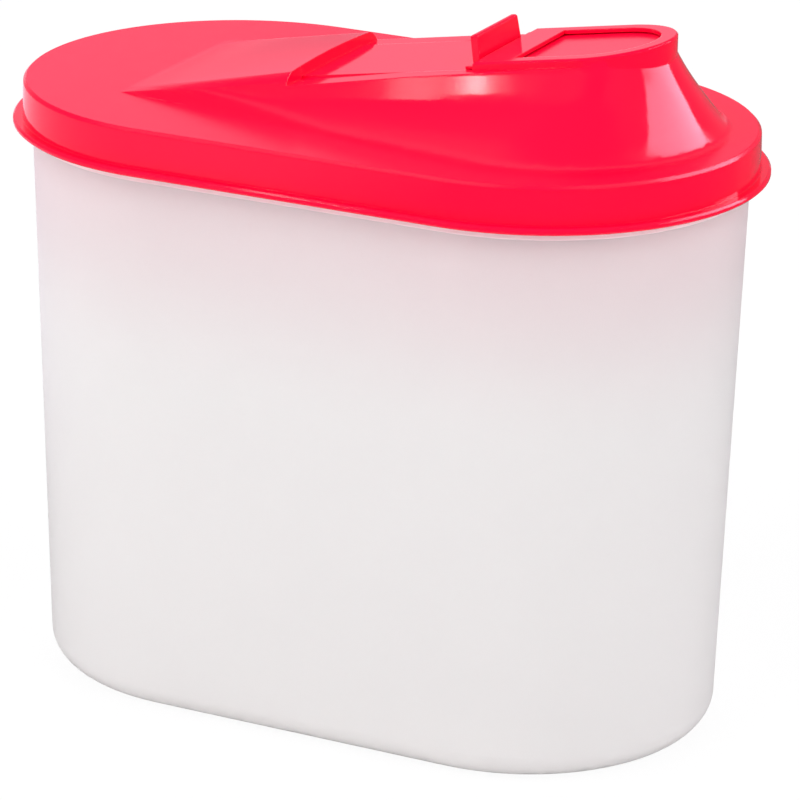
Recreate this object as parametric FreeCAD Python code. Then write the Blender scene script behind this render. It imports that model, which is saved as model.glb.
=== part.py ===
import FreeCAD, Part
import math
import os

# Dry goods canister: an oval tub, a lift-off lid with a sloping pouring spout, and a sliding shutter.
# Millimetres. The origin is the middle of the base, +X points to the spout end, +Z is up.

# Tub
tub_half_straight = 42.5        # half the distance between the centres of the two round ends
tub_base_radius = 50.8          # outside, at the table
tub_rim_radius = 55.15          # outside, at the top edge
tub_height = 159.5              # table to top edge, where the lid rests
tub_wall = 1.6
tub_floor = 2.0
tub_base_round = 8.0
rim_bevel_share = 0.22          # of the wall
inner_bevel_share = 0.6         # of the base round, between the wall and the floor inside
band_gap = 0.3                  # flange of the lid down to the top of the outside band
band_height = 2.2
band_proud = 0.9
band_bevel_share = 0.35         # of what stands proud

# Lid cover
lid_wall = 1.6
lid_clearance = 0.45            # skirt to tub
skirt_height = 11.8             # flange underside to the raised edge of the lid
skirt_lean = 0.3                # how much wider the skirt is at its foot
edge_height = 0.6               # raised edge above the deck
edge_width = 2.4
edge_bevel = 0.8
flange_reach = 2.5              # how far the flange stands out past the skirt
flange_thickness = 1.8
flange_bevel_share = 0.32       # of the thickness

# Shutter
shutter_thickness = 0.8
shutter_float = 0.3             # running gap under the shutter
shutter_top_gap = 0.3           # running gap under the lips that hold it down
shutter_side_gap = 0.4
tab_setback = 2.8               # left face of the tab to the spout collar, closed
tab_height = 6.9                # above the shutter
tab_thickness = 1.9
tab_half_width = 12.4
tab_taper = 0.5                 # each side, foot to top
tab_round_share = 0.4           # of the thickness

# Spout collar, window and mouth
spout_setback = 37.95           # rim of the tub to the centre of the round end of the spout
collar_radius = 19.2
collar_length = 26.7            # left edge to the centre of the round end
collar_bevel = 0.5
rim_width = 4.2                 # collar top, outside to window
collar_wall = 1.8               # outside to the running space of the shutter
lip_thickness = 1.05            # what holds the shutter down
window_length = 16.9            # straight edge to the centre of the round end
bridge_width = 1.9              # between the window and the thumb notch
notch_clearance = 1.2           # each side of the tab
notch_round = 3.0
mouth_ledge = 2.0               # what the shutter seals on, inside the window

# Track between the ramp and the collar
track_length = 49.0
track_depth = 0.3               # floor below the rails

# Hump: a fan of outlines that turn about a cross line, where the ramp leaves the deck
track_angle = 9.75              # degrees
hinge_setback = 31.65           # from the rim of the tub
hinge_half_width = 29.3
neck_setback = 2.1              # round end of the hump behind that of the collar, at rail level
neck_ledge = 0.8                # beside the collar
deck_strip = 4.4                # foot of the hump to the raised edge of the lid
hump_sink = 0.15                # how far the foot of the hump runs down into the deck
hump_height_shares = (0.0, 0.015, 0.07, 0.17, 0.36, 0.63, 1.0)
hump_spread_shares = (1.0, 0.92, 0.80, 0.66, 0.45, 0.21, 0.0)
hump_wall = 2.0                 # across the sloping top
hump_side_inset = 1.4

# Crowned ramp
crown_rise = 2.9                # in the middle, at the end of the ramp
shoulder_rise = 2.2             # where the crown turns down to the rails
shoulder_inset = 3.5
shoulder_share = 0.62           # fullness of the turn
crown_start_share = 0.04        # of the crown's height, at the hinge line
crown_root = 0.8                # how far the crown runs down into the hump

# Shared
cut_overrun = 20.0
slack_share = 0.001             # of the tub wall, when edges are picked by their height

# Worked out from the sizes above
deck_z = tub_height + lid_wall
skirt_inside = tub_rim_radius + lid_clearance
lid_radius = skirt_inside + lid_wall
flange_z = deck_z + edge_height - skirt_height
deck_radius = lid_radius - edge_width
tub_reach = tub_half_straight + tub_rim_radius
spout_x = tub_reach - spout_setback
collar_x = spout_x - collar_length
window_x = spout_x - window_length
window_radius = collar_radius - rim_width
mouth_x = window_x + mouth_ledge
mouth_radius = window_radius - mouth_ledge
notch_x = window_x - bridge_width
notch_half_width = tab_half_width + notch_clearance
ramp_end_x = collar_x - track_length
hinge_x = hinge_setback - tub_reach
neck_x = spout_x - neck_setback
neck_radius = collar_radius + neck_ledge
foot_x = tub_half_straight
foot_radius = deck_radius - deck_strip
track_half_width = collar_radius - collar_wall
track_space = shutter_float + shutter_thickness + shutter_top_gap
collar_rise = track_space + lip_thickness - track_depth
track_rise = math.tan(math.radians(track_angle))
track_run = math.cos(math.radians(track_angle))
up = FreeCAD.Vector(0, 0, 1)
across = FreeCAD.Vector(0, 1, 0)
origin = FreeCAD.Vector(0, 0, 0)


def point(x, y, z=0):
    return FreeCAD.Vector(x, y, z)


def mirrored(place):
    return point(place.x, -place.y, place.z)


def opposite(place):
    return point(-place.x, place.y, place.z)


def polygon(points):
    return Part.Face(Part.makePolygon(points + points[:1]))


def oval(radius, z):
    # Two straight sides and two round ends
    corner = point(tub_half_straight, radius, z)
    tip = point(tub_half_straight + radius, 0, z)
    return Part.Wire([Part.makeLine(opposite(corner), corner),
                      Part.Arc(corner, tip, mirrored(corner)).toShape(),
                      Part.makeLine(mirrored(corner), opposite(mirrored(corner))),
                      Part.Arc(opposite(mirrored(corner)), opposite(tip), opposite(corner)).toShape()])


def stadium(bottom_radius, top_radius, bottom_z, top_z):
    # An oval block, drafted where the radii differ
    return Part.makeLoft([oval(bottom_radius, bottom_z), oval(top_radius, top_z)], True, True)


def edges_at(shape, z):
    # The edges that lie wholly at one height
    slack = tub_wall * slack_share
    return [edge for edge in shape.Edges
            if abs(edge.BoundBox.ZMin - z) < slack and abs(edge.BoundBox.ZMax - z) < slack]


def tub_radius(z):
    return tub_base_radius + (tub_rim_radius - tub_base_radius) * z / tub_height


def make_tub():
    outer = stadium(tub_base_radius, tub_rim_radius, 0, tub_height)
    outer = outer.makeFillet(tub_base_round, edges_at(outer, 0))
    inner_top = tub_height + cut_overrun
    inner = stadium(tub_radius(tub_floor) - tub_wall, tub_radius(inner_top) - tub_wall, tub_floor, inner_top)
    inner = inner.makeChamfer(tub_base_round * inner_bevel_share, edges_at(inner, tub_floor))
    band_top = flange_z - band_gap
    band_foot = band_top - band_height
    band = stadium(tub_radius(band_foot) + band_proud, tub_radius(band_top) + band_proud, band_foot, band_top)
    rims = edges_at(band, band_foot) + edges_at(band, band_top)
    band = band.makeChamfer(band_proud * band_bevel_share, rims)
    tub = outer.fuse(band).cut(inner).removeSplitter()
    return tub.makeChamfer(tub_wall * rim_bevel_share, edges_at(tub, tub_height))


def tilt(shape, share=1, drop=0):
    # Turns a shape drawn flat, with the hinge line at its origin, up to the slope of the track
    shape.rotate(origin, across, -math.degrees(math.atan(track_rise * share)))
    shape.translate(point(hinge_x, 0, deck_z - drop))
    return shape


def along(x):
    # Distance from the hinge line up the slope to a place given in plan
    return (x - hinge_x) / track_run


def hump_outline(centre, radius, half_width):
    # Straight sides from the hinge line, tangent to the round end
    span = math.hypot(centre, half_width)
    lean = math.asin(radius / span) - math.atan2(half_width, centre)
    run = math.sqrt(span ** 2 - radius ** 2)
    corner = point(0, half_width)
    touch = corner + point(run * math.cos(lean), run * math.sin(lean))
    turn = math.atan2(touch.y, touch.x - centre) / 2
    bulge = point(centre + radius * math.cos(turn), radius * math.sin(turn))
    tip = point(centre + radius, 0)
    return Part.Wire([Part.makeLine(mirrored(corner), corner),
                      Part.makeLine(corner, touch),
                      Part.Arc(touch, bulge, tip).toShape(),
                      Part.Arc(tip, mirrored(bulge), mirrored(touch)).toShape(),
                      Part.makeLine(mirrored(touch), mirrored(corner))])


def hump_body(drop, inset, ruled):
    # The flared hump, from its foot on the deck to the level of the rails
    wires = []
    for height, spread in zip(hump_height_shares, hump_spread_shares):
        radius = neck_radius + (foot_radius - neck_radius) * spread - inset
        centre = along(neck_x) + (foot_x - neck_x) * spread
        wire = hump_outline(centre, radius, hinge_half_width - inset)
        wires.append(tilt(wire, height, drop + hump_sink * (1 - height)))
    return Part.makeLoft(wires, True, ruled)


def rail_half_width(run):
    # Half width of the hump top, at a distance up the slope from the hinge line
    return hinge_half_width + (neck_radius - hinge_half_width) * run / along(neck_x)


def crown_section(run, half_width, share):
    # A shallow arch with a rounded shoulder at each end, and its root below the rails
    edge = point(run, half_width)
    rise = shoulder_rise * share
    shoulder = point(run, half_width - shoulder_inset, rise)
    turn = point(run, half_width - shoulder_inset * (1 - shoulder_share), rise * shoulder_share)
    top = point(run, 0, crown_rise * share)
    root = edge - up * crown_root
    return Part.Wire([Part.Arc(edge, turn, shoulder).toShape(),
                      Part.Arc(shoulder, top, mirrored(shoulder)).toShape(),
                      Part.Arc(mirrored(shoulder), mirrored(turn), mirrored(edge)).toShape(),
                      Part.makeLine(mirrored(edge), mirrored(root)),
                      Part.makeLine(mirrored(root), root),
                      Part.makeLine(root, edge)])


def crown(drop, inset):
    # The arched ramp, from nothing at the hinge line to a step at the track
    stations = ((crown_root, crown_start_share), (along(ramp_end_x) - inset, 1))
    wires = [crown_section(run, rail_half_width(run) - inset, share) for run, share in stations]
    return tilt(Part.makeLoft(wires, True, True), 1, drop)


def tongue(left_x, radius, centre_x):
    # A plan outline with a square left end and a round right end
    corner = point(left_x, radius)
    top = point(centre_x, radius)
    tip = point(centre_x + radius, 0)
    return Part.Face(Part.Wire([Part.makeLine(mirrored(corner), corner),
                                Part.makeLine(corner, top),
                                Part.Arc(top, tip, mirrored(top)).toShape(),
                                Part.makeLine(mirrored(top), mirrored(corner))]))


def below_track(height):
    # All that lies below a plane parallel to the track, at a height above the rails
    reach = 2 * (tub_half_straight + foot_radius)
    return tilt(Part.makeBox(2 * reach, reach, deck_z, point(-reach / 2, -reach / 2, height - deck_z)))


def collar():
    block = tongue(collar_x, collar_radius, spout_x).extrude(up * deck_z)
    block.translate(point(0, 0, deck_z))
    block = block.common(below_track(collar_rise))
    top = max(block.Faces, key=lambda face: face.CenterOfMass.z)
    return block.makeChamfer(collar_bevel, top.Edges)


def track_cut():
    # The running space of the shutter, open above the track and closed by the lips of the collar
    slot = tongue(along(ramp_end_x), track_half_width, along(spout_x)).extrude(up * track_space)
    slot.translate(point(0, 0, -track_depth))
    return tilt(slot)


def window_cut():
    hole = tongue(window_x, window_radius, spout_x).extrude(up * deck_z)
    hole.translate(point(0, 0, deck_z))
    return hole.cut(below_track(-track_depth))


def notch_cut():
    length = notch_x - ramp_end_x
    block = Part.makeBox(length, 2 * notch_half_width, deck_z, point(ramp_end_x, -notch_half_width, deck_z))
    inner_corners = [edge for edge in block.Edges
                     if edge.BoundBox.XMin > collar_x and edge.BoundBox.YLength < notch_half_width]
    inner_corners = [edge for edge in inner_corners if edge.BoundBox.XLength < notch_half_width]
    return block.makeFillet(notch_round, inner_corners).cut(below_track(-track_depth))


def mouth_cut():
    hole = tongue(mouth_x, mouth_radius, spout_x).extrude(up * deck_z)
    hole.translate(point(0, 0, deck_z))
    return hole


def lid_cover():
    # Skirt, flange and deck with its raised edge
    top_z = deck_z + edge_height
    body = stadium(lid_radius + skirt_lean, lid_radius, flange_z, top_z)
    body = body.makeChamfer(edge_bevel, edges_at(body, top_z))
    flange_radius = lid_radius + skirt_lean + flange_reach
    flange_top = flange_z + flange_thickness
    flange = stadium(flange_radius, flange_radius, flange_z, flange_top)
    rims = edges_at(flange, flange_z) + edges_at(flange, flange_top)
    flange = flange.makeChamfer(flange_thickness * flange_bevel_share, rims)
    recess = stadium(deck_radius, deck_radius, deck_z, top_z + cut_overrun)
    return body.fuse(flange).cut(recess)


def lid_hollow():
    space = stadium(skirt_inside, skirt_inside, flange_z - cut_overrun, deck_z - lid_wall)
    return space.fuse([hump_body(hump_wall, hump_side_inset, True), crown(hump_wall, hump_side_inset)])


def make_lid():
    lid = lid_cover().fuse([hump_body(0, 0, False), crown(0, 0), collar()])
    return lid.cut([lid_hollow(), track_cut(), window_cut(), notch_cut(), mouth_cut()]).removeSplitter()


def tab():
    # Upright thumb tab, a little narrower at the top
    head = tab_half_width - tab_taper
    face = polygon([point(0, -tab_half_width), point(0, tab_half_width),
                    point(0, head, tab_height), point(0, -head, tab_height)])
    block = face.extrude(point(tab_thickness, 0))
    return block.makeFillet(tab_thickness * tab_round_share, edges_at(block, tab_height))


def make_shutter():
    # Drawn flat, then turned up to the track
    left = along(collar_x - tab_setback)
    plate = tongue(left, track_half_width - shutter_side_gap, along(spout_x)).extrude(up * shutter_thickness)
    handle = tab()
    handle.translate(point(left, 0, shutter_thickness))
    shutter = plate.fuse(handle).removeSplitter()
    shutter.translate(point(0, 0, shutter_float - track_depth))
    return tilt(shutter)


os.makedirs("parts", exist_ok=True)
for name, make in (("tub", make_tub), ("lid", make_lid), ("shutter", make_shutter)):
    shape = make()
    print(name, "solids", len(shape.Solids), "valid", shape.isValid(), "volume", round(shape.Volume, 1))
    shape.exportStep("parts/" + name + ".step")
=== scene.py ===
import math
import bmesh
import bpy
from mathutils import Matrix, Quaternion, Vector


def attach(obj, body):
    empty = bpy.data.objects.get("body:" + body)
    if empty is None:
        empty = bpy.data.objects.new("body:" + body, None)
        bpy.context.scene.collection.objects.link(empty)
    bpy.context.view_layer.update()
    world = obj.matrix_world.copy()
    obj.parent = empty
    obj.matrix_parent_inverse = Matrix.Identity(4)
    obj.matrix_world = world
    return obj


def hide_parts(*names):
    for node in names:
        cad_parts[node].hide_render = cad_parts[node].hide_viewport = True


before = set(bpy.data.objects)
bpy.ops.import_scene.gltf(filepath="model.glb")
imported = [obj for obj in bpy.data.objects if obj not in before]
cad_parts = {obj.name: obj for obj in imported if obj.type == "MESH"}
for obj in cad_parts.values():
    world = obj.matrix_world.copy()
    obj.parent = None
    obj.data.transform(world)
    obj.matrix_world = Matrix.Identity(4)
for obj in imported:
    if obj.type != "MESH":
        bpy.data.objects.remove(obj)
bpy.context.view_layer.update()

scene = bpy.context.scene
scene.view_settings.view_transform = "Standard"
perMetre = 1000                        # millimetres
upward = Vector((0, 0, 1))
white = (1, 1, 1)
print("frame loaded:", sorted(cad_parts))


class Wire:
    # a shader value that can be used in plain sums
    def __init__(self, tree, socket):
        self.tree = tree
        self.socket = socket

    def sum(self, operation, first, second):
        node = self.tree.nodes.new("ShaderNodeMath")
        node.operation = operation
        plug(self.tree, node.inputs[0], first)
        plug(self.tree, node.inputs[1], second)
        return Wire(self.tree, node.outputs[0])

    def __add__(self, other):
        return self.sum("ADD", self, other)

    def __radd__(self, other):
        return self.sum("ADD", other, self)

    def __sub__(self, other):
        return self.sum("SUBTRACT", self, other)

    def __rsub__(self, other):
        return self.sum("SUBTRACT", other, self)

    def __mul__(self, other):
        return self.sum("MULTIPLY", self, other)

    def __rmul__(self, other):
        return self.sum("MULTIPLY", other, self)


def plug(tree, socket, value):
    if isinstance(value, Wire):
        tree.links.new(value.socket, socket)
    else:
        socket.default_value = value


class Nodes:
    # one node tree, emptied, with a single way to add a node
    def __init__(self, tree):
        self.tree = tree
        tree.nodes.clear()

    def add(self, kind, settings=None, sockets=None, out=0):
        node = self.tree.nodes.new(kind)
        for key, value in (settings or {}).items():
            setattr(node, key, value)
        for key, value in (sockets or {}).items():
            plug(self.tree, node.inputs[key], value)
        return Wire(self.tree, node.outputs[out]) if node.outputs else None


def newFinish(name):
    material = bpy.data.materials.new(name)
    material.use_nodes = True
    return material, Nodes(material.node_tree)


def colour(values):
    return values if isinstance(values, Wire) else (*values, 1.0)


def blend(nodes, share, first, second):
    # the Mix node's colours are its inputs 6 and 7 and its output 2
    sockets = {0: share, 6: colour(first), 7: colour(second)}
    return nodes.add("ShaderNodeMix", {"data_type": "RGBA"}, sockets, 2)


def between(nodes, value, low, high, kind="SMOOTHSTEP"):
    sockets = {"Value": value, "From Min": low, "From Max": high}
    return nodes.add("ShaderNodeMapRange", {"interpolation_type": kind}, sockets)


def noise(nodes, place, scale, detail):
    return nodes.add("ShaderNodeTexNoise", sockets={"Vector": place, "Scale": scale, "Detail": detail})


def part(nodes, place, axis):
    return nodes.add("ShaderNodeSeparateXYZ", sockets={"Vector": place}, out=axis)


def glow(nodes, kind, tone, strength=1.0):
    return nodes.add(kind, sockets={"Color": colour(tone), "Strength": strength})


def mixShaders(nodes, share, first, second):
    return nodes.add("ShaderNodeMixShader", sockets={"Fac": share, 1: first, 2: second})


# camera at the photograph's angle, aimed so that the canister fills the frame
cameraSet = {
    "azimuth": 26.17,          # degrees round the canister
    "height": 19.25,           # degrees above the table
    "roll": 0.93,
    "target": (0, 0, 0.090),
    "distance": 1.2,
    "lens": 204.87,
    "farthest": 50,
    "aimRight": 0.003745,      # radians
    "aimDown": 0.008762,
}


def lookFrom(turn, rise):
    # direction at a turn from the front and a rise above the table, radians
    return Vector((math.sin(turn) * math.cos(rise), -math.cos(turn) * math.cos(rise), math.sin(rise)))


def makeCamera(values):
    turn, rise, roll = (math.radians(values[key]) for key in ("azimuth", "height", "roll"))
    back = lookFrom(turn, rise)
    level = Vector((math.cos(turn), math.sin(turn), 0))
    upright = back.cross(level)
    right = level * math.cos(roll) + upright * math.sin(roll)
    up = upright * math.cos(roll) - level * math.sin(roll)
    place = Vector(values["target"]) + back * values["distance"]
    aim = -back + right * math.tan(values["aimRight"]) - up * math.tan(values["aimDown"])
    depth = -aim.normalized()
    right = (right - depth * right.dot(depth)).normalized()
    up = depth.cross(right)
    bpy.ops.object.camera_add()
    camera = bpy.context.object
    camera.name = "photoCamera"
    turned = Matrix((right, up, depth)).transposed().to_4x4()
    camera.matrix_world = Matrix.Translation(place) @ turned
    camera.data.lens = values["lens"]
    camera.data.clip_end = values["farthest"]
    scene.camera = camera


bpy.ops.object.select_all(action="DESELECT")
makeCamera(cameraSet)
print("camera made")


# frosted tub, heights in metres, patterns as scale per metre and detail
tubSet = {
    "milk": (0.765, 0.745, 0.72),
    "paintedRedGlow": (0.71, 0.535, 0.55),      # painted glow: the lid's red light, shone through and bounced down the wall, painted into the colour
    "paintedRedGlowShare": (0.55, 0.30),        # least, and what the flow marks add
    "paintedRedGlowHeights": (0.085, 0.150),
    "band": (0.95, 0.70, 0.72),        # the raised ring outside, painted pale pink: the lid's red reflection and the light it catches, painted in
    "bandFoot": (0.1473, 0.1475),
    "bandTop": (0.1495, 0.1498),
    "roughness": (0.38, 0.16),         # least, and what the flow marks add
    "flow": (9, 2.0),
    "grain": (2600, 3.0),
    "grainBump": {"Strength": 0.12, "Distance": 0.0002},
    "plastic": {"Subsurface Weight": 0.35, "Subsurface Radius": (0.012, 0.011, 0.011),
                "Subsurface Scale": 1.0, "IOR": 1.49, "Specular IOR Level": 0.4},
}


def tubFinish(values):
    material, nodes = newFinish("frostedTub")
    place = nodes.add("ShaderNodeTexCoord", out="Object")
    height = part(nodes, place, "Z")
    # painted red glow from the lid, stronger towards the top of the wall
    paintedRedGlow = between(nodes, height, *values["paintedRedGlowHeights"], kind="SMOOTHERSTEP")
    flow = noise(nodes, place, *values["flow"])
    least, added = values["paintedRedGlowShare"]
    base = blend(nodes, paintedRedGlow * (least + added * flow), values["milk"], values["paintedRedGlow"])
    # painted pale pink glow on the raised ring just under the lid's flange
    foot = between(nodes, height, *values["bandFoot"])
    top = between(nodes, height, *values["bandTop"])
    base = blend(nodes, foot * (1 - top), base, values["band"])
    grain = noise(nodes, place, *values["grain"])
    bump = nodes.add("ShaderNodeBump", sockets={**values["grainBump"], "Height": grain})
    least, added = values["roughness"]
    rough = least + added * flow
    shader = nodes.add("ShaderNodeBsdfPrincipled", sockets={
        "Base Color": base, "Roughness": rough, "Normal": bump, **values["plastic"]})
    nodes.add("ShaderNodeOutputMaterial", sockets={"Surface": shader})
    return material


# red mouldings
lidSet = {
    "red": (0.95, 0.0015, 0.039),
    "deep": (0.91, 0.001, 0.034),
    "roughness": (0.045, 0.08),        # least, and what the scuffs add
    "satin": 0.16,                     # how much duller the deck is
    "satinFoot": (0.1608, 0.1612),
    "satinTop": (0.1622, 0.1670),
    "softEdge": 0.0005,
    "edgeSamples": 6,
    "cloud": (26, 3.0),
    "scuff": (240, 6.0),
    "peel": (700, 2.0),
    "peelBump": {"Strength": 0.03, "Distance": 0.0002},
    "plastic": {"IOR": 1.49, "Specular IOR Level": 0.24},
}
shutterSet = {**lidSet, "roughness": (0.14, 0.08)}


def redFinish(name, values):
    material, nodes = newFinish(name)
    place = nodes.add("ShaderNodeTexCoord", out="Object")
    base = blend(nodes, noise(nodes, place, *values["cloud"]), values["red"], values["deep"])
    scuff = noise(nodes, place, *values["scuff"])
    height = part(nodes, place, "Z")
    foot = between(nodes, height, *values["satinFoot"], kind="LINEAR")
    top = between(nodes, height, *values["satinTop"], kind="LINEAR")
    satin = values["satin"] * foot * (1 - top)
    peel = noise(nodes, place, *values["peel"])
    edge = nodes.add("ShaderNodeBevel", {"samples": values["edgeSamples"]}, {"Radius": values["softEdge"]})
    bump = nodes.add("ShaderNodeBump", sockets={**values["peelBump"], "Height": peel, "Normal": edge})
    least, added = values["roughness"]
    rough = satin + least + added * scuff
    shader = nodes.add("ShaderNodeBsdfPrincipled", sockets={
        "Base Color": base, "Roughness": rough, "Normal": bump, **values["plastic"]})
    nodes.add("ShaderNodeOutputMaterial", sockets={"Surface": shader})
    return material


# the flared hump as a rule, millimetres: where a place lies between its foot and its top
humpSet = {
    "hingeX": -66.0,                   # the line across the deck where the ramp leaves it
    "deckZ": 161.1,
    "tilt": math.radians(9.75),
    "sink": 0.15,                      # how far the foot lies in the deck
    "halfWidth": 29.3,                 # at the hinge line
    "foot": (42.5, 50.4),              # centre and radius of the round end
    "neck": (57.6, 20.0),
    "heights": (0.0, 0.015, 0.07, 0.17, 0.36, 0.63, 1.0),      # shares of the way up and out
    "spreads": (1.0, 0.92, 0.80, 0.66, 0.45, 0.21, 0.0),
    "near": 0.35,                      # from a face of the hump to the rule
    "lean": math.radians(24),          # between such a face and the rule
    "brim": 161.7,                     # the lid's flush top
    "clear": 0.02,                     # how far above it the hump starts
    "blend": 1.7,                      # height over which the flare runs into the deck
    "blendMore": 5.0,                  # what is added to that, in full from blendLeft on
    "blendLeft": -50.0,
}
# what else on the lid has normals of its own
brimSet = {
    "flat": 0.9,                       # least upward share of the normals of deck and ramp
    "soft": 0.3,                       # height above the brim up to which those point straight up
    "edge": (0.6, 0.8),                # upward share of the normals of the deck's edge
    "edgeDepth": 1.0,                  # how far that edge lies below the brim
    "edgeOver": 0.05,                  # and above it
    "edgeLean": math.radians(55),      # how far the worn edge leans out
}


def spreadTable(values, steps=24):
    # a smooth curve through the stations of the hump
    places = list(zip(values["heights"], values["spreads"]))
    places = [places[0]] + places + [places[-1]]
    table = []
    for a, b, c, d in zip(places, places[1:], places[2:], places[3:]):
        for step in range(steps):
            t = step / steps
            table.append([b[k] + 0.5 * t * (c[k] - a[k] + t * (2 * a[k] - 5 * b[k] + 4 * c[k] - d[k]
                          + t * (3 * (b[k] - c[k]) + d[k] - a[k]))) for k in (0, 1)])
    return table + [list(places[-1])]


humpTable = spreadTable(humpSet)


def clamped(value):
    return min(max(value, 0.0), 1.0)


def humpRound(spread, neckRun, values):
    # radius and centre of the round end, and how its straight sides lean out from the hinge line
    (footX, footRadius), (neckX, neckRadius) = values["foot"], values["neck"]
    radius = neckRadius + (footRadius - neckRadius) * spread
    centre = neckRun + (footX - neckX) * spread
    half = values["halfWidth"]
    lean = math.asin(radius / math.hypot(centre, half)) - math.atan2(half, centre)
    return radius, centre, lean


def humpDistance(x, y, z, values=humpSet):
    slope = math.tan(values["tilt"])
    run = x - values["hingeX"]
    height = clamped((z - values["deckZ"] + values["sink"]) / (run * slope + values["sink"]))
    spread = 0.0
    for low, high in zip(humpTable, humpTable[1:]):
        if low[0] <= height <= high[0]:
            spread = low[1] + (high[1] - low[1]) * (height - low[0]) / (high[0] - low[0])
            break
    neckRun = (values["neck"][0] - values["hingeX"]) * math.hypot(1, slope)
    radius, centre, lean = humpRound(spread, neckRun, values)
    run *= math.hypot(1, slope * height)
    out = abs(y) - values["halfWidth"]
    straight = math.sqrt(centre ** 2 + values["halfWidth"] ** 2 - radius ** 2)
    if run * math.cos(lean) + out * math.sin(lean) < straight:
        return out * math.cos(lean) - run * math.sin(lean)
    return math.hypot(run - centre, y) - radius


def humpNormal(place, step=0.06):
    x, y, z = (perMetre * value for value in place)
    return Vector((humpDistance(x + step, y, z) - humpDistance(x - step, y, z),
                   humpDistance(x, y + step, z) - humpDistance(x, y - step, z),
                   humpDistance(x, y, z + step) - humpDistance(x, y, z - step))).normalized()


def footNormal(place, values=humpSet):
    # the flare leaves the deck softly
    tall = values["blend"] + values["blendMore"] * clamped(perMetre * place.x / values["blendLeft"])
    share = clamped((perMetre * place.z - values["brim"]) / tall)
    share = (share * share * (3 - 2 * share)) ** 2
    return upward.lerp(humpNormal(place), share).normalized()


def humpFaces(mesh, values=humpSet):
    found = set()
    for face in mesh.polygons:
        x, y, z = (perMetre * value for value in face.center)
        if z > values["brim"] + values["clear"] and abs(humpDistance(x, y, z)) < values["near"]:
            if face.normal.angle(humpNormal(face.center)) < values["lean"]:
                found.add(face.index)
    return found


def facePairs(mesh):
    # the two faces at each edge
    beside = {}
    for face in mesh.polygons:
        for edge in face.edge_keys:
            beside.setdefault(edge, []).append(face.index)
    return {edge: pair for edge, pair in beside.items() if len(pair) == 2}


def planeAreas(faces, pairs, flat=math.cos(math.radians(0.1))):
    # for each face, the area of the whole plane that it is a part of
    group = list(range(len(faces)))

    def root(index):
        while group[index] != index:
            group[index] = group[group[index]]
            index = group[index]
        return index

    for first, second in pairs.values():
        if faces[first].normal.dot(faces[second].normal) > flat:
            group[root(first)] = root(second)
    area = {}
    for face in faces:
        area[root(face.index)] = area.get(root(face.index), 0.0) + face.area * perMetre ** 2
    return [area[root(face.index)] for face in faces]


def softPairs(faces, pairs, smooth, hump):
    # for each corner, the pairs of faces that share a normal there
    joined = {}
    for edge, (first, second) in pairs.items():
        match = faces[first].normal.dot(faces[second].normal)
        if match > math.cos(math.radians(smooth)) and (first in hump) == (second in hump):
            for vertex in edge:
                joined.setdefault(vertex, []).append((first, second))
    return joined


def fansAt(members, joined):
    fan = {index: index for index in members}
    for first, second in joined:
        old, new = fan[first], fan[second]
        fan = {index: new if name == old else name for index, name in fan.items()}
    return [[index for index in members if fan[index] == name] for name in set(fan.values())]


def brimNormal(normal, above, values=brimSet):
    # the worn edge of the deck
    least, most = values["edge"]
    if least < normal.z < most and -values["edgeDepth"] < above < values["edgeOver"]:
        normal = Vector((normal.x, normal.y, 0)).normalized() * math.sin(values["edgeLean"])
        normal.z = math.cos(values["edgeLean"])
    return normal


def evenNormals(mesh, smooth, hump):
    # large planes keep their own normal, curved faces share theirs, the hump takes it from its rule
    faces = mesh.polygons
    pairs = facePairs(mesh)
    area = planeAreas(faces, pairs)
    joined = softPairs(faces, pairs, smooth, hump)
    around = {}
    for face in faces:
        for vertex in face.vertices:
            around.setdefault(vertex, []).append(face.index)
    shared = {}
    for vertex, members in around.items():
        place = mesh.vertices[vertex].co
        above = perMetre * place.z - humpSet["brim"]
        for fan in fansAt(members, joined.get(vertex, [])):
            if fan[0] in hump:
                normal = footNormal(place)
            elif hump and above < brimSet["soft"] and faces[fan[0]].normal.z > brimSet["flat"]:
                normal = upward
            else:
                weighed = (faces[index].normal * area[index] ** 2 for index in fan)
                normal = sum(weighed, Vector()).normalized()
                if hump:
                    normal = brimNormal(normal, above)
            for index in fan:
                shared[vertex, index] = normal.normalized()
    loops = [None] * len(mesh.loops)
    for face in faces:
        face.use_smooth = True
        for loop in face.loop_indices:
            loops[loop] = shared[mesh.loops[loop].vertex_index, face.index]
    mesh.normals_split_custom_set(loops)


# what the photograph shows finer than the solid: a flush deck, a whole collar, a track that stands proud
# x in plan, heights above the rails, but the deck's above the table, millimetres
mendSet = {
    "deck": {"low": 160.9, "high": 161.7, "radius": 55.6, "straight": 42.5},
    "deckHole": {"start": 8.0, "spread": 0.66},        # from the hinge line, inside the wall of the hump
    "collar": {"left": 33.0, "right": 41.6, "side": 14.6, "low": 1.1, "high": 2.15, "bevel": 0.5},
    "track": {"left": -16.2, "right": 36.0, "side": 17.45, "low": -1.0, "high": -0.08, "bevel": 0.0},
    "ledge": {"left": -16.05, "right": 17.0, "near": 17.3, "wide": 22.0, "drop": -0.68, "high": 22.0},
    "merge": 0.004,                    # corners this near are one
    "speck": 0.002,                    # edges this short go
}


def slopePlace(x, y, z, values=humpSet):
    sine, cosine = math.sin(values["tilt"]), math.cos(values["tilt"])
    run = (x - values["hingeX"]) / cosine
    return Vector((values["hingeX"] + run * cosine - z * sine, y,
                   values["deckZ"] + run * sine + z * cosine)) / perMetre


def addWalls(shape, low, high):
    for index in range(len(low)):
        shape.faces.new((low[index - 1], low[index], high[index], high[index - 1]))


def addPrism(shape, profile, start, width):
    # a profile on the slope, drawn out along y
    corners = [slopePlace(x, start, z) for x, z in profile]
    shift = Vector((0, width / perMetre, 0))
    low = [shape.verts.new(place) for place in corners]
    high = [shape.verts.new(place + shift) for place in corners]
    shape.faces.new(low)
    shape.faces.new(high)
    addWalls(shape, low, high)


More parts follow.
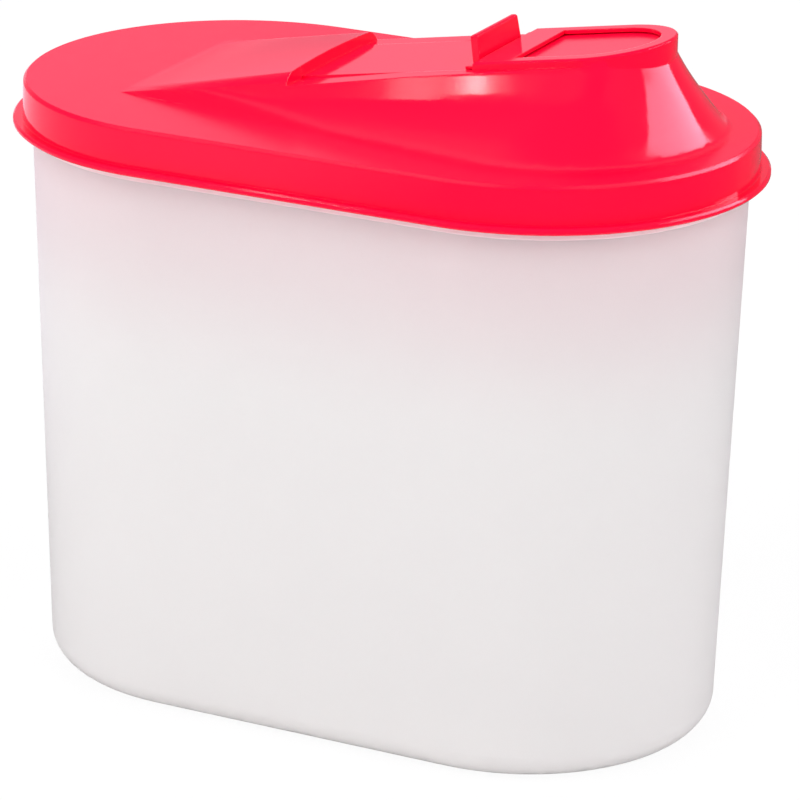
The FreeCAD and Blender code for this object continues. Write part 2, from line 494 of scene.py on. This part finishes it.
def addRing(shape, outlines, heights):
    levels = []
    for z in heights:
        edges = []
        loops = []
        for outline in outlines:
            loop = [shape.verts.new((x / perMetre, y / perMetre, z / perMetre)) for x, y in outline]
            edges += [shape.edges.new((loop[index - 1], loop[index])) for index in range(len(loop))]
            loops.append(loop)
        bmesh.ops.triangle_fill(shape, edges=edges, use_beauty=True, normal=upward)
        levels.append(loops)
    for low, high in zip(*levels):
        addWalls(shape, low, high)


def ovalOutline(radius, straight, steps=64):
    turns = [math.pi * (step / steps - 0.5) for step in range(steps + 1)]
    right = [(straight + radius * math.cos(turn), radius * math.sin(turn)) for turn in turns]
    return right + [(-x, -y) for x, y in right]


def humpOutline(start, spread, values=humpSet, steps=40):
    # plan of the hump at one spread, cut off square near the hinge line
    neckRun = values["neck"][0] - values["hingeX"]
    radius, centre, lean = humpRound(spread, neckRun, values)
    turns = [(math.pi / 2 + lean) * (2 * step / steps - 1) for step in range(steps + 1)]
    outline = [(centre + radius * math.cos(turn), radius * math.sin(turn)) for turn in turns]
    side = values["halfWidth"] + start * math.tan(lean)
    outline += [(start, side), (start, -side)]
    return [(values["hingeX"] + x, y) for x, y in outline]


def lidLayers(shape, values):
    deck = values["deck"]
    outlines = (ovalOutline(deck["radius"], deck["straight"]), humpOutline(**values["deckHole"]))
    addRing(shape, outlines, (deck["low"], deck["high"]))
    for name in ("collar", "track"):
        left, right, side, low, high, bevel = values[name].values()
        profile = [(left, low), (right, low), (right, high), (left + bevel, high)]
        if bevel:
            profile.append((left, high - bevel))
        addPrism(shape, profile, -side, 2 * side)


def lidLedges(shape, values):
    left, right, near, wide, drop, high = values["ledge"].values()
    profile = [(left, drop), (right, 0), (right, high), (left, high)]
    for way in (-1, 1):
        addPrism(shape, profile, way * near, way * wide)


def cutPiece(piece, operation, fill, values):
    shape = bmesh.new()
    fill(shape, values)
    bmesh.ops.recalc_face_normals(shape, faces=shape.faces)
    mesh = bpy.data.meshes.new("mendTool")
    shape.to_mesh(mesh)
    shape.free()
    tool = bpy.data.objects.new("mendTool", mesh)
    scene.collection.objects.link(tool)
    change = piece.modifiers.new("mend", "BOOLEAN")
    change.operation = operation
    change.solver = "EXACT"
    change.object = tool
    bpy.context.view_layer.objects.active = piece
    bpy.ops.object.modifier_apply(modifier=change.name)
    bpy.data.objects.remove(tool)
    bpy.data.meshes.remove(mesh)


def mendLid(piece, values):
    cutPiece(piece, "UNION", lidLayers, values)
    cutPiece(piece, "DIFFERENCE", lidLedges, values)
    shape = bmesh.new()
    shape.from_mesh(piece.data)
    bmesh.ops.remove_doubles(shape, verts=shape.verts, dist=values["merge"] / perMetre)
    bmesh.ops.dissolve_degenerate(shape, edges=shape.edges, dist=values["speck"] / perMetre)
    shape.to_mesh(piece.data)
    shape.free()
    print("lid mended, faces", len(piece.data.polygons))


# the loose triangles of a solid, joined, with even normals, in the solid's place
pieceSet = {
    "tub": {"name": "tubWall", "slot": "tub_frosted", "smooth": 26, "merge": 0.002},
    "lid": {"name": "lidMoulding", "slot": "lid_red", "smooth": 26, "merge": 0.002},
    "shutter": {"name": "shutterSlide", "slot": "shutter_red", "smooth": 26, "merge": 0.002},
}


def joinedPiece(node, values, material):
    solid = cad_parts[node]
    piece = bpy.data.objects.new(values["name"], solid.data.copy())
    scene.collection.objects.link(piece)
    bpy.ops.object.select_all(action="DESELECT")
    bpy.context.view_layer.objects.active = piece
    piece.select_set(True)
    bpy.ops.object.mode_set(mode="EDIT")
    bpy.ops.mesh.select_all(action="SELECT")
    bpy.ops.mesh.remove_doubles(threshold=values["merge"] / perMetre)
    bpy.ops.object.mode_set(mode="OBJECT")
    hump = set()
    if node == "lid":
        mendLid(piece, mendSet)
        hump = humpFaces(piece.data)
    evenNormals(piece.data, values["smooth"], hump)
    for mesh in (piece.data, solid.data):
        mesh.materials.clear()
        mesh.materials.append(material)
    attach(piece, node)
    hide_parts(node)
    print("piece", values["name"], "faces", len(piece.data.polygons), "on the hump", len(hump))


finishes = {
    "tub": tubFinish(tubSet),
    "lid": redFinish("glossRedLid", lidSet),
    "shutter": redFinish("glossRedShutter", shutterSet),
}
for node, values in pieceSet.items():
    joinedPiece(node, values, finishes[node])


# pale floor that stays white to the camera and keeps the shadow
floorSet = {
    "size": 8.0,
    "tone": (0.85, 0.85, 0.85),
    "veil": 0.94,                      # how much of its shade the camera doesn't see
    "dim": (0.2, 0.2, 0.2),            # what gloss mirrors of it
    "bright": (0.95, 0.86, 1.0),       # the same, to the left
    "turnsBright": (-0.20, -0.31),     # where one runs into the other
}


def makeFloor(values):
    bpy.ops.mesh.primitive_plane_add(size=values["size"])
    floor = bpy.context.object
    floor.name = "studioFloor"
    material, nodes = newFinish("paleFloor")
    seen = nodes.add("ShaderNodeLightPath", out="Is Camera Ray")
    mirrored = nodes.add("ShaderNodeLightPath", out="Is Glossy Ray")
    matt = nodes.add("ShaderNodeBsdfDiffuse", sockets={"Color": colour(values["tone"])})
    place = nodes.add("ShaderNodeTexCoord", out="Object")
    left = between(nodes, part(nodes, place, "X"), *values["turnsBright"])
    shown = blend(nodes, left, values["dim"], values["bright"])
    mixed = mixShaders(nodes, seen * values["veil"], matt, glow(nodes, "ShaderNodeEmission", white))
    mixed = mixShaders(nodes, mirrored, mixed, glow(nodes, "ShaderNodeEmission", shown))
    nodes.add("ShaderNodeOutputMaterial", sockets={"Surface": mixed})
    floor.data.materials.append(material)


# a dim room with a bright wall behind on the left
studioSet = {
    "tint": (1.0, 0.88, 1.10),
    "wall": 0.74,
    "room": 0.26,
    "way": (-0.656, 0.755, 0.0),
    "sides": (0.86, 0.97),             # how squarely a direction faces the wall
    "foot": (-0.09, 0.27),             # sines of the height
    "head": (0.62, 0.98),
}


def makeStudio(values):
    world = bpy.data.worlds.new("studioRoom")
    scene.world = world
    world.use_nodes = True
    nodes = Nodes(world.node_tree)
    way = nodes.add("ShaderNodeTexCoord", out="Generated")
    squarely = {0: way, 1: values["way"]}
    behind = nodes.add("ShaderNodeVectorMath", {"operation": "DOT_PRODUCT"}, squarely, out="Value")
    height = part(nodes, way, "Z")
    wall = between(nodes, behind, *values["sides"]) * between(nodes, height, *values["foot"])
    wall = wall * (1 - between(nodes, height, *values["head"]))
    dim = glow(nodes, "ShaderNodeBackground", values["tint"], values["room"])
    lit = glow(nodes, "ShaderNodeBackground", values["tint"], values["wall"])
    plain = glow(nodes, "ShaderNodeBackground", white)
    seen = nodes.add("ShaderNodeLightPath", out="Is Camera Ray")
    mixed = mixShaders(nodes, seen, mixShaders(nodes, wall, dim, lit), plain)
    nodes.add("ShaderNodeOutputWorld", sockets={"Surface": mixed})


# soft boxes, degrees and metres: one that only shows in the gloss, and fills that don't show in it
boxAim = (0, 0, 0.16)
fillTint = (1.0, 1.0, 0.99)
boxSet = {
    "rightBox": {"turn": 126, "rise": 29, "far": 1.3, "roll": -35, "size": (1.10, 0.54), "power": 18.0,
                 "tint": (1.0, 0.80, 1.04), "mirrored": True, "lit": False},
    "fillLeft": {"turn": -30, "rise": 36, "far": 1.8, "roll": 0, "size": (1.6, 1.6), "power": 29,
                 "tint": fillTint, "mirrored": False, "lit": True},
    "fillRight": {"turn": 78, "rise": 36, "far": 1.8, "roll": 0, "size": (1.6, 1.6), "power": 26,
                  "tint": fillTint, "mirrored": False, "lit": True},
    "fillBack": {"turn": 205, "rise": 48, "far": 1.8, "roll": 0, "size": (1.6, 1.6), "power": 21,
                 "tint": fillTint, "mirrored": False, "lit": True},
}
# two narrow strips that show as pale marks under the rail
stripAlong = (-0.08, 0.91, 0.40)
stripSet = {
    "longStrip": {"mark": (0.0169, -0.0243, 0.1738), "way": (-0.49, -0.42, 0.76), "far": 0.35,
                  "size": (0.016, 0.08), "power": 0.028, "tint": white, "mirrored": True, "lit": True},
    "shortStrip": {"mark": (0.0316, -0.0232, 0.1762), "way": (-0.47, -0.48, 0.74), "far": 0.35,
                   "size": (0.007, 0.05), "power": 0.042, "tint": white, "mirrored": True, "lit": True},
}


def makeLamp(name, place, across, way, values):
    bpy.ops.object.light_add(type="AREA")
    lamp = bpy.context.object
    lamp.name = name
    turned = Matrix((across, way.cross(across), way)).transposed().to_4x4()
    lamp.matrix_world = Matrix.Translation(place) @ turned
    lamp.data.shape = "RECTANGLE"
    lamp.data.size, lamp.data.size_y = values["size"]
    lamp.data.energy = values["power"]
    lamp.data.color = values["tint"]
    lamp.visible_glossy = values["mirrored"]
    lamp.visible_diffuse = values["lit"]
    lamp.visible_camera = False


def makeBox(name, values):
    way = lookFrom(math.radians(values["turn"]), math.radians(values["rise"]))
    across = upward.cross(way).normalized()
    across.rotate(Quaternion(way, math.radians(values["roll"])))
    makeLamp(name, Vector(boxAim) + way * values["far"], across, way, values)


def makeStrip(name, values):
    way = Vector(values["way"]).normalized()
    across = Vector(stripAlong).cross(way).normalized()
    makeLamp(name, Vector(values["mark"]) + way * values["far"], across, way, values)


bpy.ops.object.select_all(action="DESELECT")
makeFloor(floorSet)
makeStudio(studioSet)
for name, values in boxSet.items():
    makeBox(name, values)
for name, values in stripSet.items():
    makeStrip(name, values)
print("floor, room and lamps made")
